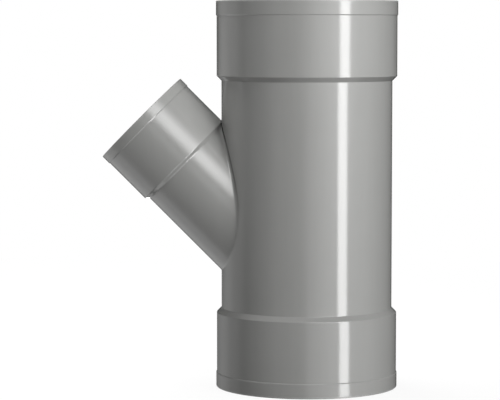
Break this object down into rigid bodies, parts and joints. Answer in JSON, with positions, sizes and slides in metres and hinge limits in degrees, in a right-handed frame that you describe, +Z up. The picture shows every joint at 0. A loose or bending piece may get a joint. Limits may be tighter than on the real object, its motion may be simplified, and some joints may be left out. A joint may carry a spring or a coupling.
{
  "type": "lateral wye fitting",
  "caption": "Grey plastic 45 degree lateral wye fitting for drain pipe: a straight run with a pipe socket at each end and a smaller slanted branch socket.",
  "frame": {"origin": "centre of the run's lower mouth, in the plane of the rim that the fitting stands on", "axes": "+Z up along the run's axis, -X towards the side that the branch leaves on, in the plane of both axes"},
  "size_m": [0.2161, 0.133, 0.2827],
  "materials": {
    "grey_plastic": "satin"
  },
  "bodies": {
    "root": {"wye_body": "grey_plastic"}
  },
  "joints": []
}
